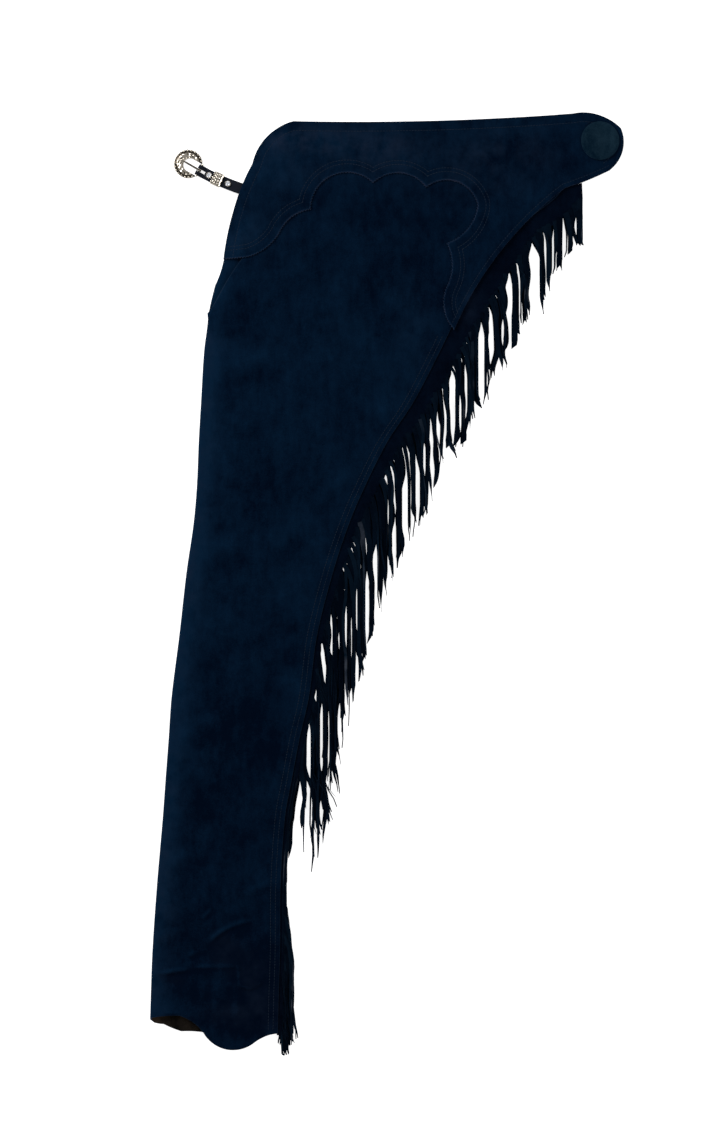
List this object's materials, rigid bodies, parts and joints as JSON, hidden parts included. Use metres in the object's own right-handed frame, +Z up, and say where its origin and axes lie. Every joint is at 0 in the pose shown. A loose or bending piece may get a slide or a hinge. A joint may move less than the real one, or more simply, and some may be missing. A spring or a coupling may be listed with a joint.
{
  "type": "fringed show chaps",
  "caption": "Long suede show chaps with a scalloped yoke, seam fringe, buckle strap and back rosette, folded in half and laid flat.",
  "frame": {"origin": "on the surface the chaps lie on, under the middle of their outline", "axes": "+Y towards the waist, +X towards the fringed outer seam, +Z up off the surface; the near leg is on top"},
  "size_m": [0.5407, 1.0757, 0.0126],
  "materials": {
    "suede": "matte suede nap, dark navy",
    "fringe_suede": "matte suede nap, near-black navy",
    "metal": "bright engraved silver",
    "crystal": "foiled crystal"
  },
  "bodies": {
    "chaps": {"far_leg": "suede", "far_fringe": "fringe_suede", "near_leg": "suede", "near_fringe": "fringe_suede", "yoke": "suede", "rosette": "suede", "strap": "suede", "keeper": "metal", "stud_1": "crystal", "stud_2": "crystal"},
    "buckle": {"buckle_frame": "metal"},
    "prong": {"buckle_prong": "metal"}
  },
  "joints": [
    {"name": "buckle_hinge", "type": "hinge", "parent": "chaps", "child": "buckle", "pos_m": [-0.2137, 0.473, 0.00305], "axis": [0.5, 0.866, 0], "range_deg": [0, 75]},
    {"name": "prong_hinge", "type": "hinge", "parent": "buckle", "child": "prong", "pos_m": [-0.2137, 0.473, 0.00305], "axis": [0.5, 0.866, 0], "range_deg": [0, 60]}
  ]
}
